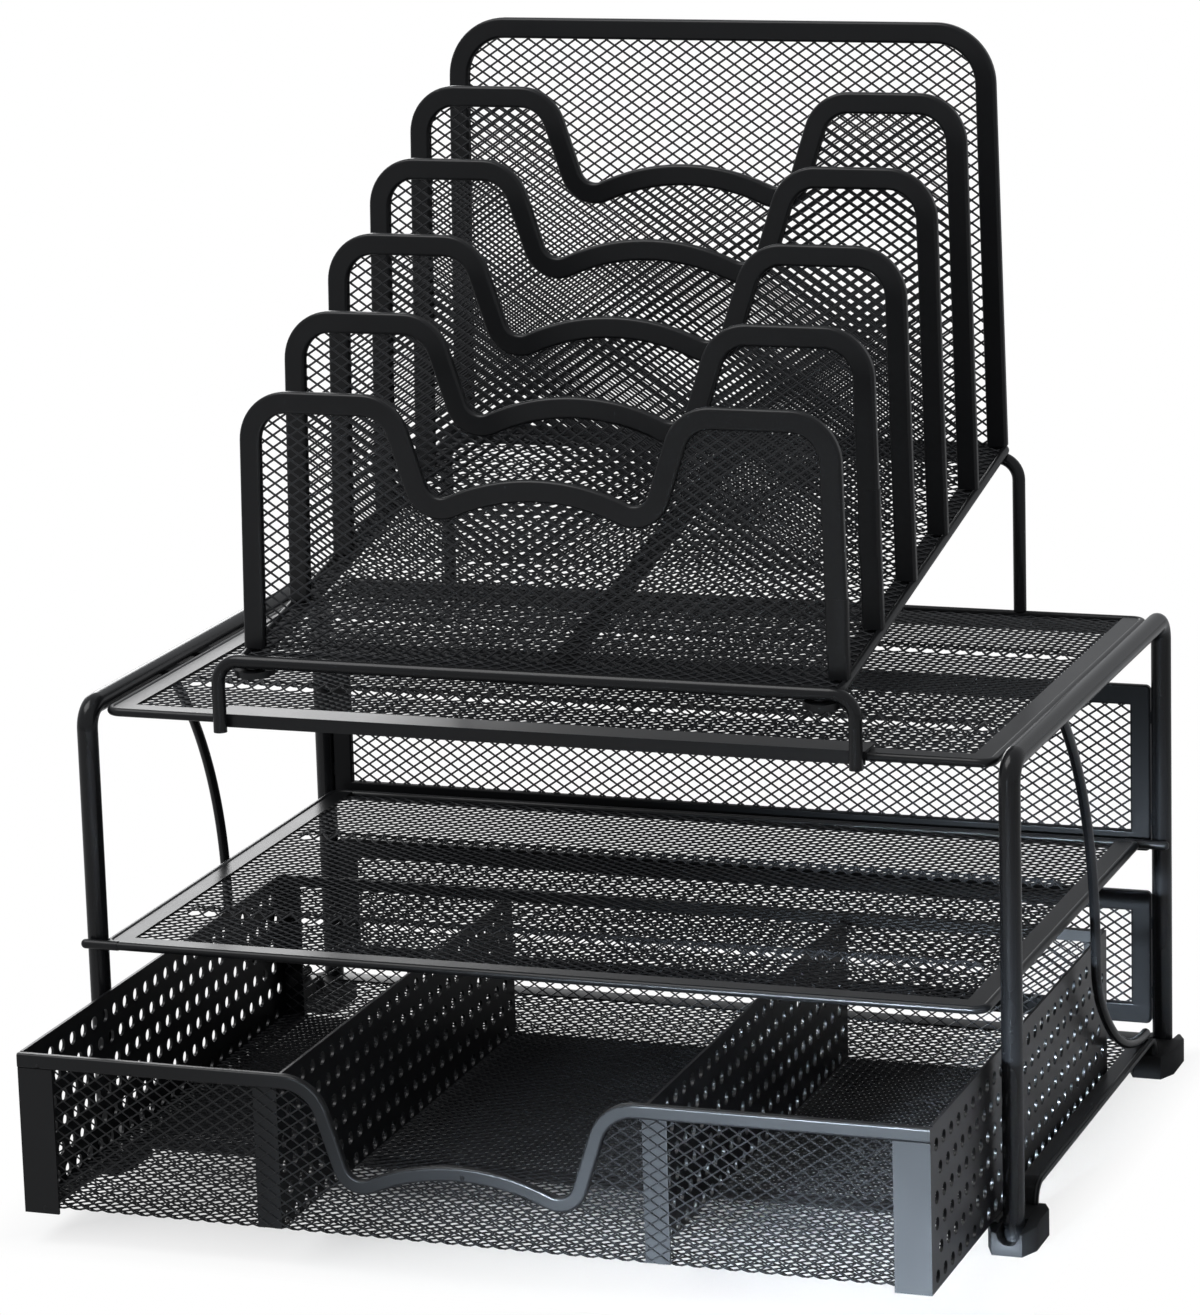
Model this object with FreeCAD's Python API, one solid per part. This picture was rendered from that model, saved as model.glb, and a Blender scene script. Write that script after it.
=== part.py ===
import FreeCAD, Part
import math
import os

from FreeCAD import Vector

# Desk organiser: a tube rack with two mesh shelves, a pull-out mesh drawer in its foot
# and an inclined upright sorter on top. Millimetres, X to the right, Y to the back, Z up.
# Everything is drawn with y = 0 on the front legs' axis and z = 0 on the desk, and is
# moved on export so that the origin is the bottom centre of the whole organiser.

# ---- side frames: one bent tube on each side --------------------------------------------
rack_half_x = 164.35      # centre plane of a side frame
leg_span = 210.8          # front leg axis to rear leg axis
tube_dia = 7.3
tube_wall = 0.8
tube_bend = 7.5           # bend radius of the tube's axis at the two top corners
rail_z = 166.8            # axis of the top rail
leg_end_gap = 0.2         # tube end above the floor of its foot

# ---- feet --------------------------------------------------------------------------------
foot_length = 31.0
foot_width = 16.8
foot_nose = 11.5          # width of each blunt end
foot_taper = 9.0          # length over which an end narrows
foot_height = 9.4
foot_floor = 2.8
foot_offset_x = -0.45     # foot centre from the tube's axis, outward positive
foot_overhang = 8.0       # foot beyond the leg's axis, away from the rack
foot_edge = 0.8           # rounding of the upper edge
socket_gap = 0.15         # clearance round a tube or rail end in a foot

# ---- sheet, mesh and hems ----------------------------------------------------------------
sheet = 0.8               # edge strips
mesh_t = 0.7              # expanded mesh
fit_gap = 0.1             # mesh edge to the hem or groove that holds it
opening_width = 22.0      # coarse diamonds that stand for the fine openings of the mesh
opening_height = 14.6
opening_strand = 3.0      # metal left between two of them
opening_border = 2.0      # metal left inside a frame, hem or strip
hem_dia = 3.0             # rolled hem round a shelf
hem_rise = 0.4            # hem above its strip

# ---- shelves -----------------------------------------------------------------------------
shelf_side_gap = 5.25     # tube's axis to the shelf's edge
shelf_strip = 9.0         # on top of the mesh at the front and the sides
shelf_rear_strip = 4.5    # under the mesh at the rear
shelf_corner = 6.0
top_shelf_front = 1.0
top_shelf_z = 166.8       # top of the hem
rear_flange_drop = 7.0    # upright flange under the top shelf's rear hem
rear_flange_end = 8.0     # flange's end from the shelf's corner
mid_shelf_z = 85.0
mid_shelf_shift = -1.2    # the middle shelf sits a little to the left
lap_end = 2.3             # how far a lapped hem wire passes the leg's axis
lap_swell = 0.2           # extra radius of the weld-covered lap
rib_width = 6.0
rib_height = 2.6
rib_from_front = 44.0     # first stiffening rib behind the shelf's front edge
rib_spacing = 104.0
rib_side_gap = 3.0        # rib end to the side strip
tab_length = 10.0         # weld tab along the rail
tab_height = 2.2
tab_first = 64.0
tab_spacing = 28.0

# ---- back panels between the rear legs ---------------------------------------------------
panel_depth = 3.0
panel_band = 7.5
panel_corner = 2.0
panel_edge = 0.8          # rounding of the outer and window edges
panel_groove = 4.0        # depth of the groove that holds the mesh
upper_panel_gap = 3.85    # tube's axis to the panel's end
upper_panel_bottom = 79.8
upper_panel_top = 142.0
lower_panel_gap = 3.85
lower_panel_bottom = 14.0
lower_panel_top = 64.4
panel_tab_inset = 12.0    # weld tab's centre from the panel's end

# ---- bowed side braces -------------------------------------------------------------------
bow_dia = 3.6
bow_knee_y = 112.3        # rearmost point of the bow
bow_knee_z = 66.0
bow_upper_r = 132.6
bow_knee_r = 25.0
bow_knee_turn = 39.0      # degrees turned on the knee radius before the long lower arc

# ---- bottom tray that carries the drawer -------------------------------------------------
tray_top = 16.6           # top of the side rails' hem
tray_rail_inset = 4.15    # inner face of a side rail from the tube's axis
tray_rail_width = 7.1
tray_rail_t = 1.0
tray_hem_dia = 2.6
tray_hem_rise = 0.15
tray_post_from_leg = 19.5 # outer face of a rail's bent end from the leg's axis
tray_bend = 8.0
tray_lip = 0.8
tray_floor_gap = 0.2      # tray mesh above the feet
tray_strip = 9.0
tray_strip_t = 0.6
tray_front = -4.0
tray_rear_inset = 2.8     # tray's rear edge in front of the rear legs' axis

# ---- drawer ------------------------------------------------------------------------------
drawer_side_gap = 1.3     # drawer's side to the tray's rail
drawer_front = -79.7      # pulled out as it stands at rest
drawer_length = 228.7
drawer_floor_gap = 0.3    # drawer above the tray's strips
drawer_height = 56.0
drawer_sheet = 1.0
drawer_flange = 12.5
drawer_turn_in = 8.0      # bottom and rear flanges of a side wall
drawer_rim_band = 5.0
drawer_rim_depth = 3.0
drawer_rim_proud = 0.3
drawer_rim_edge = 0.9
drawer_back_rim_z = 4.0
drawer_back_rim_y = 3.0
drawer_notch_x = -1.5     # the finger notch sits a little to the left
compartment_left = -65.7  # inner face of the left partition
compartment_right = 61.9  # inner face of the right partition
partition_sheet = 1.0
partition_flange = 8.5
partition_drop = 1.7      # partition's top below the drawer's rim

# ---- perforation of the drawer's walls and partitions ------------------------------------
hole_dia = 4.6
hole_pitch = 8.77
hole_row_pitch = 8.85
hole_rows = 6
hole_first_row = 4.4      # lowest row above the drawer's underside
hole_first_y = 6.7        # first hole behind the drawer's front
hole_end_gap = 6.0        # clear metal behind the last hole

# ---- the waved finger notch shared by the drawer front and the sorter's dividers ---------
notch_top_half = 49.4     # where the flanks' lines meet the top edge
notch_low_half = 37.6     # where they meet the crest's tangents
notch_drop = 36.2         # from the top edge to those lower corners
notch_shoulder_r = 17.0
notch_valley_r = 5.5
notch_crest_r = 78.0
notch_crest_rise = 16.5   # apex of the crest's tangents above the lower corners

# ---- inclined sorter ---------------------------------------------------------------------
base_half_x = 108.0
base_front = 0.2
base_overhang = 5.7       # base's rear edge behind the rear legs' axis
base_front_z = 187.4
base_rear_z = 228.5
base_strip = 9.0
base_corner = 5.0
strap_x = 6.0             # centre strap under the base
strap_width = 9.0
divider_count = 5
divider_first = 8.5       # front face of the first divider
divider_pitch = 40.7
divider_depth = 3.6
divider_band = 7.5
divider_groove = 4.0
divider_edge = 1.1        # rounding of the outer and window edges
divider_corner = 17.5
divider_first_top = 278.5
divider_top_step = 20.6
divider_taper = 0.022     # narrowing of each side per mm of height
back_top = 380.9
back_corner = 22.0
leg_wire_dia = 4.7
leg_wire_bend = 8.0
front_wire_reach = 5.2    # leg's axis beyond the base's edge
front_wire_z = 187.0
front_wire_foot = 161.8
rear_wire_reach = 3.2
rear_wire_back = 3.0      # rear wire's axis in front of the base's rear edge
crossbar_t = 0.8
crossbar_gap = 0.3        # crossbar in front of the shelf's hem
crossbar_drop = 3.8       # front flange below the shelf's top
crossbar_depth = 12.0
lug_dia = 15.0
lug_hole = 5.5
lug_t = 2.4
lug_inset = 6.7           # lug's centre from the base's edge
lug_back = 2.0            # lug centre behind the base's front edge, along the slope

# ---- worked out from the sizes above -----------------------------------------------------
tube_r = tube_dia / 2
hem_r = hem_dia / 2
shelf_half_x = rack_half_x - shelf_side_gap
upper_panel_half_x = rack_half_x - upper_panel_gap
lower_panel_half_x = rack_half_x - lower_panel_gap
tray_rail_half_x = rack_half_x - tray_rail_inset
tray_rear = leg_span - tray_rear_inset
tray_floor = foot_height + tray_floor_gap
drawer_half_x = tray_rail_half_x - drawer_side_gap
drawer_bottom = tray_floor + mesh_t + tray_strip_t + drawer_floor_gap
drawer_top = drawer_bottom + drawer_height
drawer_rear = drawer_front + drawer_length
rim_front = drawer_front - drawer_rim_proud
lap_r = hem_r + lap_swell
mid_shelf_front = -tube_r - lap_r - hem_r
shelf_depth = leg_span + hem_dia
base_rear = leg_span + base_overhang
base_run = base_rear - base_front
base_slope = (base_rear_z - base_front_z) / base_run
base_tilt = math.degrees(math.atan(base_slope))
base_length = math.hypot(base_run, base_rear_z - base_front_z)
front_wire_half_x = base_half_x + front_wire_reach
rear_wire_half_x = base_half_x + rear_wire_reach
lug_x = base_half_x - lug_inset
foot_rear = leg_span + foot_overhang
origin_y = (rim_front + foot_rear) / 2


# ---- outlines made of straight runs and tangent bends ------------------------------------
def unit(dx, dy):
    length = math.hypot(dx, dy)
    return dx / length, dy / length


def headings(corners, index, closed):
    """directions of the run before and the run after one corner"""
    here = corners[index]
    ahead = corners[(index + 1) % len(corners)]
    behind = corners[index - 1]
    leaving = unit(ahead[0] - here[0], ahead[1] - here[1])
    arriving = unit(here[0] - behind[0], here[1] - behind[1])
    if not closed and index == 0:
        arriving = leaving
    if not closed and index == len(corners) - 1:
        leaving = arriving
    return arriving, leaving


def offset(corners, distance, closed=True):
    """the outline moved to the left of its travel, every bend kept concentric"""
    moved = []
    for index, (u, v, bend) in enumerate(corners):
        a, b = headings(corners, index, closed)
        share = distance / (1 + a[0] * b[0] + a[1] * b[1])
        left_turn = a[0] * b[1] - a[1] * b[0] > 0
        if bend > 0:
            bend = max(bend - distance if left_turn else bend + distance, 0.0)
        moved.append((u - (a[1] + b[1]) * share, v + (a[0] + b[0]) * share, bend))
    return moved


def outline(corners, to_space, closed=True):
    """wire of straight runs joined by tangent arcs through corners (u, v, bend radius)"""
    edges = []
    pen = None
    start = None
    for index, (u, v, bend) in enumerate(corners):
        a, b = headings(corners, index, closed)
        turn = math.atan2(a[0] * b[1] - a[1] * b[0], a[0] * b[0] + a[1] * b[1])
        reach = bend * math.tan(abs(turn) / 2)
        enter = (u - a[0] * reach, v - a[1] * reach)
        leave = (u + b[0] * reach, v + b[1] * reach)
        if pen is not None:
            edges.append(straight(pen, enter, to_space))
        if reach > 0:
            side = math.copysign(bend, turn)
            centre = (enter[0] - a[1] * side, enter[1] + a[0] * side)
            towards = unit(u - centre[0], v - centre[1])
            middle = (centre[0] + towards[0] * bend, centre[1] + towards[1] * bend)
            points = [to_space(*point) for point in (enter, middle, leave)]
            edges.append(Part.Arc(*points).toShape())
        start = start or enter
        pen = leave
    if closed:
        edges.append(straight(pen, start, to_space))
    return Part.Wire(edges)


def straight(start, end, to_space):
    return Part.LineSegment(to_space(*start), to_space(*end)).toShape()


def rectangle(u0, u1, v0, v1, bend=0.0):
    return [(u0, v0, bend), (u1, v0, bend), (u1, v1, bend), (u0, v1, bend)]


def plan(z):
    return lambda u, v: Vector(u, v, z)


def upright(y):
    return lambda u, v: Vector(u, y, v)


def side_view(x):
    return lambda u, v: Vector(x, u, v)


# ---- solids ------------------------------------------------------------------------------
def flat(wires):
    """a flat face: the first wire is its outline and the others are its holes"""
    return Part.makeFace(wires, "Part::FaceMakerBullseye")


def slab(wires, thickness):
    return flat(wires).extrude(thickness)


def block(x0, x1, y0, y1, z0, z1):
    corner = Vector(min(x0, x1), min(y0, y1), min(z0, z1))
    return Part.makeBox(abs(x1 - x0), abs(y1 - y0), abs(z1 - z0), corner)


def round_bar(path, radius):
    """a round bar swept along a path of straight runs and tangent arcs"""
    first = path.Edges[0]
    start = first.valueAt(first.FirstParameter)
    heading = first.tangentAt(first.FirstParameter)
    section = Part.Wire(Part.makeCircle(radius, start, heading))
    return Part.Solid(path.makePipeShell([section], True, False))


def mesh_plate(edge, window, to_space, thickness):
    """mesh sheet: a plate with staggered diamond openings inside a window

    The mesh itself is far finer: these are its coarse likeness, with few faces."""
    frame = offset(window, opening_border)
    us = [u for u, v, bend in frame]
    vs = [v for u, v, bend in frame]
    step_u = opening_width + opening_strand
    step_v = opening_height + opening_strand
    columns = math.ceil((max(us) - min(us)) / step_u / 2)
    rows = math.ceil((max(vs) - min(vs)) / step_v)
    diamonds = []
    for row in range(-rows, rows + 1):
        v = (min(vs) + max(vs)) / 2 + row * step_v / 2
        shift = step_u / 2 if row % 2 else 0
        for column in range(-columns - 1, columns + 1):
            u = (min(us) + max(us)) / 2 + shift + column * step_u
            corners = [(u - opening_width / 2, v, 0), (u, v - opening_height / 2, 0),
                       (u + opening_width / 2, v, 0), (u, v + opening_height / 2, 0)]
            diamonds.append(flat([outline(corners, to_space)]))
    openings = flat([outline(frame, to_space)]).common(diamonds)
    holes = [opening.OuterWire for opening in openings.Faces]
    return slab([outline(edge, to_space)] + holes, thickness)


def mirrored(shape):
    return shape.mirror(Vector(0, 0, 0), Vector(1, 0, 0))


def export(name, *solids):
    shape = solids[0] if len(solids) == 1 else Part.makeCompound(list(solids))
    shape = shape.copy()
    shape.translate(Vector(0, -origin_y, 0))
    shape.exportStep(os.path.join("parts", name + ".step"))
    faults = [solid for solid in shape.Solids if not solid.isValid()]
    print(name, len(shape.Solids), "solids", round(shape.Volume, 1), "mm3",
          "faulty" if faults or not shape.Solids else "")


def export_pair(name, right):
    export(name + "_right", right)
    export(name + "_left", mirrored(right))


# ---- side frames, feet and braces --------------------------------------------------------
def frame_path():
    leg_end = foot_floor + leg_end_gap
    corners = [(0, leg_end, 0), (0, rail_z, tube_bend),
               (leg_span, rail_z, tube_bend), (leg_span, leg_end, 0)]
    return outline(corners, side_view(rack_half_x), closed=False)


def side_frame():
    path = frame_path()
    return round_bar(path, tube_r).cut(round_bar(path, tube_r - tube_wall))


def tray_rail_corners():
    """side view of the rail's outer face: bent down into the feet at both ends"""
    end_z = foot_floor + leg_end_gap
    top = tray_top - tray_hem_rise
    rear = leg_span - tray_post_from_leg
    return [(tray_post_from_leg, end_z, 0), (tray_post_from_leg, top, tray_bend),
            (rear, top, tray_bend), (rear, end_z, 0)]


def tray_rail():
    outer = tray_rail_corners()
    inner = offset(outer, -tray_rail_t, closed=False)
    inner_x = tray_rail_half_x
    loop = outline(outer + inner[::-1], side_view(inner_x))
    strip = slab([loop], Vector(tray_rail_width, 0, 0))
    hem_r = tray_hem_dia / 2
    hem_line = offset(outer, tray_hem_rise - hem_r, closed=False)
    hem_x = inner_x + tray_rail_width - hem_r
    hem = round_bar(outline(hem_line, side_view(hem_x), closed=False), hem_r)
    lip_front = tray_post_from_leg + tray_bend + tray_rail_t
    lip = block(inner_x, inner_x + tray_lip, lip_front, leg_span - lip_front,
                tray_floor, tray_top - tray_hem_rise - tray_rail_t / 2)
    return strip.fuse([hem, lip]).removeSplitter()


def foot():
    """front foot: a long hexagon with a socket for the leg, open forwards, and a slot
    for the bent end of the tray's rail"""
    centre_x = rack_half_x + foot_offset_x
    front = -foot_overhang
    rear = front + foot_length
    nose = foot_nose / 2
    half = foot_width / 2
    corners = [(centre_x - nose, front, 0), (centre_x + nose, front, 0),
               (centre_x + half, front + foot_taper, 0), (centre_x + half, rear - foot_taper, 0),
               (centre_x + nose, rear, 0), (centre_x - nose, rear, 0),
               (centre_x - half, rear - foot_taper, 0), (centre_x - half, front + foot_taper, 0)]
    body = slab([outline(corners, plan(0))], Vector(0, 0, foot_height))
    rim = [edge for edge in body.Edges
           if all(abs(vertex.Z - foot_height) < foot_edge / 2 for vertex in edge.Vertexes)]
    body = body.makeFillet(foot_edge, rim)
    deep = foot_height - foot_floor
    socket_r = tube_r + socket_gap
    socket = Part.makeCylinder(socket_r, deep, Vector(rack_half_x, 0, foot_floor))
    mouth = block(rack_half_x - socket_r, rack_half_x + socket_r,
                  front - foot_edge, 0, foot_floor, foot_height)
    slot_front = tray_post_from_leg - tray_hem_rise - socket_gap
    slot_rear = tray_post_from_leg - tray_hem_rise + tray_hem_dia + socket_gap
    slot = block(tray_rail_half_x - socket_gap,
                 tray_rail_half_x + tray_rail_width + socket_gap,
                 slot_front, slot_rear, foot_floor, foot_height)
    return body.cut([socket, mouth, slot])


def rear_foot(front_foot):
    return front_foot.mirror(Vector(0, leg_span / 2, 0), Vector(0, 1, 0))


def bow_brace(frame_outer):
    """wire from under the top rail, bowed back and down to the tray's rail"""
    wire_r = bow_dia / 2
    rest_z = tray_top + wire_r
    top_centre_y = bow_knee_y - bow_upper_r
    start_sin = (rail_z - bow_knee_z) / bow_upper_r
    start_cos = math.sqrt(1 - start_sin ** 2)
    half_sin = start_sin / 2
    half_cos = math.sqrt(1 - half_sin ** 2)
    turn = math.radians(bow_knee_turn)
    knee_end = (bow_knee_y + bow_knee_r * (1 - math.cos(turn)),
                bow_knee_z - bow_knee_r * math.sin(turn))
    knee_middle = (bow_knee_y + bow_knee_r * (1 - math.cos(turn / 2)),
                   bow_knee_z - bow_knee_r * math.sin(turn / 2))
    long_r = (knee_end[1] - rest_z) / (1 - math.sin(turn))
    centre = (knee_end[0] + long_r * math.cos(turn), rest_z + long_r)
    half = (math.pi / 2 - turn) / 2
    long_middle = (centre[0] - long_r * math.sin(half), centre[1] - long_r * math.cos(half))
    to_space = side_view(rack_half_x)
    arcs = [
        [(top_centre_y + bow_upper_r * start_cos, bow_knee_z + bow_upper_r * start_sin),
         (top_centre_y + bow_upper_r * half_cos, bow_knee_z + bow_upper_r * half_sin),
         (bow_knee_y, bow_knee_z)],
        [(bow_knee_y, bow_knee_z), knee_middle, knee_end],
        [knee_end, long_middle, (centre[0], rest_z)],
    ]
    edges = [Part.Arc(*[to_space(*point) for point in arc]).toShape() for arc in arcs]
    return largest(round_bar(Part.Wire(edges), wire_r).cut(frame_outer))


def largest(shape):
    return max(shape.Solids, key=lambda solid: solid.Volume)


# ---- shelves -----------------------------------------------------------------------------
def hemmed_rim(edge, strips):
    """rolled hem along a rectangular outline, hem top at z 0, with flat strips inside it

    Each strip is (x0, x1, y0, y1, underside) and is trimmed to the hem's centre line."""
    hem_line = offset(edge, hem_r)
    rim = round_bar(outline(hem_line, plan(-hem_r)), hem_r)
    trim = slab([outline(hem_line, plan(-hem_dia))], Vector(0, 0, hem_dia))
    flats = [block(x0, x1, y0, y1, under, under + sheet).common(trim)
             for x0, x1, y0, y1, under in strips]
    return rim.fuse(flats)


def mesh_sheet(edge, top, window):
    """flat mesh sheet up to the inside of the hem"""
    return mesh_plate(offset(edge, hem_dia + fit_gap), window, plan(top - mesh_t),
                      Vector(0, 0, mesh_t))


def ribbed(mesh, x0, x1, front):
    """the mesh with two folded ribs across it, ending short of the side strips"""
    top = -hem_rise - sheet
    rib_x0 = x0 + shelf_strip + rib_side_gap
    rib_x1 = x1 - shelf_strip - rib_side_gap
    half = rib_width / 2
    for index in range(2):
        y = front + rib_from_front + index * rib_spacing
        gap = block(rib_x0, rib_x1, y - half, y + half, top - mesh_t, top)
        fold = [(y - half, top - mesh_t, 0), (y, top - mesh_t + rib_height, 0),
                (y + half, top - mesh_t, 0), (y + half, top, 0),
                (y, top + rib_height, 0), (y - half, top, 0)]
        ridge = slab([outline(fold, side_view(rib_x0))], Vector(rib_x1 - rib_x0, 0, 0))
        mesh = mesh.cut(gap).fuse(ridge)
    return mesh


def shelf(x0, x1, y0, y1, z):
    """rim and ribbed mesh of a shelf: the front and side strips lie on the mesh and the
    narrower rear strip under it"""
    edge = rectangle(x0, x1, y0, y1, shelf_corner)
    over = -hem_rise - sheet
    under = over - mesh_t - sheet
    strips = [(x0, x1, y0, y0 + shelf_strip, over), (x0, x0 + shelf_strip, y0, y1, over),
              (x1 - shelf_strip, x1, y0, y1, over), (x0, x1, y1 - shelf_rear_strip, y1, under)]
    rim = hemmed_rim(edge, strips)
    window = rectangle(x0 + shelf_strip, x1 - shelf_strip,
                       y0 + shelf_strip, y1 - shelf_rear_strip)
    mesh = ribbed(mesh_sheet(edge, over, window), x0, x1, y0)
    for solid in (rim, mesh):
        solid.translate(Vector(0, 0, z))
    return rim, mesh


def rear_flange(rim):
    """upright strip under the rear hem of the top shelf"""
    half = shelf_half_x - rear_flange_end
    rear = top_shelf_front + shelf_depth - hem_r
    strip = block(-half, half, rear - sheet, rear, top_shelf_z - rear_flange_drop,
                  top_shelf_z - hem_r)
    return largest(strip.cut(rim))


def mid_shelf_laps(rim):
    """hem wire carried past the front left and rear right legs, in front of each"""
    wire_z = mid_shelf_z - hem_r
    reach = rack_half_x + lap_end
    inner = shelf_half_x - shelf_corner
    laps = []
    for side, y in ((-1, mid_shelf_front + hem_r),
                    (1, mid_shelf_front + shelf_depth - hem_r)):
        start = side * inner + mid_shelf_shift
        length = abs(side * reach - start)
        bar = Part.makeCylinder(lap_r, length, Vector(start, y, wire_z), Vector(side, 0, 0))
        tip = Part.makeSphere(lap_r, Vector(side * reach, y, wire_z))
        laps.append(largest(bar.fuse(tip).cut(rim)))
    return laps


# ---- framed mesh panels ------------------------------------------------------------------
def channel_frame(corners, y, depth, band, groove, edge):
    """upright channel frame with rounded edges and the mesh held in its groove"""
    window_line = offset(corners, band)
    body = slab([outline(corners, upright(y)), outline(window_line, upright(y))],
                Vector(0, depth, 0))
    rims = [line for line in body.Edges if line.BoundBox.YLength < edge / 2]
    body = body.makeFillet(edge, rims)
    groove_line = offset(corners, band - groove)
    groove_t = mesh_t + 2 * fit_gap
    groove_y = y + (depth - groove_t) / 2
    slot = slab([outline(groove_line, upright(groove_y))], Vector(0, groove_t, 0))
    mesh_line = offset(corners, band - groove + fit_gap)
    mesh = mesh_plate(mesh_line, window_line, upright(groove_y + fit_gap),
                      Vector(0, mesh_t, 0))
    return body.cut(slot), mesh


def back_panel(half_x, bottom, top):
    corners = rectangle(-half_x, half_x, bottom, top, panel_corner)
    front = leg_span - panel_depth / 2
    return channel_frame(corners, front, panel_depth, panel_band, panel_groove,
                         panel_edge)


def weld_tabs(frames, rims):
    """small weld beads between the side frames and what they carry"""
    tabs = []
    for index in range(2):
        y = tab_first + index * tab_spacing
        z = top_shelf_z - hem_r
        tabs.append((shelf_half_x - hem_r / 2, rack_half_x, y - tab_length / 2,
                     y + tab_length / 2, z - tab_height / 2, z + tab_height / 2))
    half_t = panel_depth / 4
    for half_x, bottom, top in ((upper_panel_half_x, upper_panel_bottom, upper_panel_top),
                                (lower_panel_half_x, lower_panel_bottom, lower_panel_top)):
        for z in (bottom + panel_tab_inset, top - panel_tab_inset):
            tabs.append((half_x - panel_band / 4, rack_half_x, leg_span - half_t,
                         leg_span + half_t, z - tab_height, z + tab_height))
    beads = []
    for tab in tabs:
        bead = block(*tab)
        beads.append(largest(bead.cut(frames + rims)))
        left = mirrored(bead)
        beads.append(largest(left.cut([mirrored(shape) for shape in frames] + rims)))
    return beads


# ---- drawer ------------------------------------------------------------------------------
def wave(middle, top):
    """corners of the finger notch in a top edge, from right to left"""
    low = top - notch_drop
    return [(middle + notch_top_half, top, notch_shoulder_r),
            (middle + notch_low_half, low, notch_valley_r),
            (middle, low + notch_crest_rise, notch_crest_r),
            (middle - notch_low_half, low, notch_valley_r),
            (middle - notch_top_half, top, notch_shoulder_r)]


def drawer_front_line():
    """upper edge of the drawer's front, from right to left"""
    ends = [(drawer_half_x, drawer_top, 0)], [(-drawer_half_x, drawer_top, 0)]
    return ends[0] + wave(drawer_notch_x, drawer_top) + ends[1]


def drawer_front_rim():
    upper = drawer_front_line()
    lower = offset(upper, drawer_rim_band, closed=False)
    body = slab([outline(upper + lower[::-1], upright(rim_front))],
                Vector(0, drawer_rim_depth, 0))
    rounded = [edge for edge in body.Edges if edge.BoundBox.YLength < drawer_rim_edge / 2
               and (on_line(edge, upper)
                    or edge.CenterOfMass.y < drawer_front and on_line(edge, lower))]
    return body.makeFillet(drawer_rim_edge, rounded)


def on_line(edge, corners):
    """whether an edge of the drawer's rim lies on one of its outlines"""
    line = outline(corners, upright(edge.CenterOfMass.y), closed=False)
    middle = edge.valueAt((edge.FirstParameter + edge.LastParameter) / 2)
    return line.distToShape(Part.Vertex(middle))[0] < drawer_rim_band / 4


def hole_wires(front, length, x, lowest, highest):
    """round holes in staggered rows over an upright wall"""
    wires = []
    usable = length - hole_first_y - hole_end_gap
    for row in range(hole_rows):
        z = drawer_bottom + hole_first_row + row * hole_row_pitch
        stagger = hole_pitch / 2 if row in (1, 4) else 0
        if z - hole_dia / 2 < lowest or z + hole_dia / 2 > highest:
            continue
        for column in range(int((usable - stagger) / hole_pitch) + 1):
            y = front + hole_first_y + stagger + column * hole_pitch
            wires.append(Part.Wire(Part.makeCircle(hole_dia / 2, Vector(x, y, z),
                                                   Vector(1, 0, 0))))
    return wires


def mesh_front_y():
    return drawer_front + drawer_sheet


def mesh_rear_y():
    return drawer_rear - drawer_sheet


def drawer_side():
    """right wall: perforated sheet folded in at the front, the bottom and the rear"""
    inner = drawer_half_x - drawer_sheet
    top = drawer_top - drawer_rim_band
    outer = rectangle(drawer_front, drawer_rear, drawer_bottom, drawer_top)
    holes = hole_wires(drawer_front, drawer_length, inner, drawer_bottom, drawer_top)
    wall = slab([outline(outer, side_view(inner))] + holes, Vector(drawer_sheet, 0, 0))
    front = block(drawer_half_x - drawer_flange, drawer_half_x, drawer_front, mesh_front_y(),
                  drawer_bottom, top)
    bottom = block(drawer_half_x - drawer_turn_in, drawer_half_x, drawer_front, drawer_rear,
                   drawer_bottom, drawer_bottom + drawer_sheet)
    rear = block(drawer_half_x - drawer_turn_in, drawer_half_x, mesh_rear_y(), drawer_rear,
                 drawer_bottom, drawer_top - drawer_back_rim_z)
    rim_space = block(0, drawer_half_x, rim_front, rim_front + drawer_rim_depth,
                      top, drawer_top)
    back_rim_space = block(0, drawer_half_x, drawer_rear - drawer_back_rim_y, drawer_rear,
                           drawer_top - drawer_back_rim_z, drawer_top)
    return wall.fuse([front, bottom, rear]).cut([rim_space, back_rim_space]).removeSplitter()


def drawer_mesh_front():
    inner = drawer_half_x - drawer_sheet - fit_gap
    window_x = drawer_half_x - drawer_flange
    under_rim = offset(drawer_front_line(), drawer_rim_band, closed=False)
    low = drawer_bottom + drawer_sheet
    top = drawer_top - drawer_rim_band
    notch = under_rim[1:-1]
    sheet_line = [(-inner, low, 0), (inner, low, 0), (inner, top, 0)] + notch + [(-inner, top, 0)]
    window = [(-window_x, low, 0), (window_x, low, 0), (window_x, top, 0)]
    window += notch + [(-window_x, top, 0)]
    return mesh_plate(sheet_line, window, upright(mesh_front_y()), Vector(0, mesh_t, 0))


def drawer_mesh_floor():
    inner = drawer_half_x - drawer_sheet - fit_gap
    front = mesh_front_y() + mesh_t
    rear = mesh_rear_y() - mesh_t
    low = drawer_bottom + drawer_sheet
    window = rectangle(drawer_turn_in - drawer_half_x, drawer_half_x - drawer_turn_in,
                       front, rear)
    return mesh_plate(rectangle(-inner, inner, front, rear), window, plan(low),
                      Vector(0, 0, mesh_t))


def drawer_mesh_back():
    inner = drawer_half_x - drawer_sheet - fit_gap
    low = drawer_bottom + drawer_sheet
    top = drawer_top - drawer_back_rim_z
    window = rectangle(drawer_turn_in - drawer_half_x, drawer_half_x - drawer_turn_in, low, top)
    return mesh_plate(rectangle(-inner, inner, low, top), window,
                      upright(mesh_rear_y() - mesh_t), Vector(0, mesh_t, 0))


def drawer_back_rim():
    return block(-drawer_half_x, drawer_half_x, drawer_rear - drawer_back_rim_y,
                 drawer_rear, drawer_top - drawer_back_rim_z, drawer_top)


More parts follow.
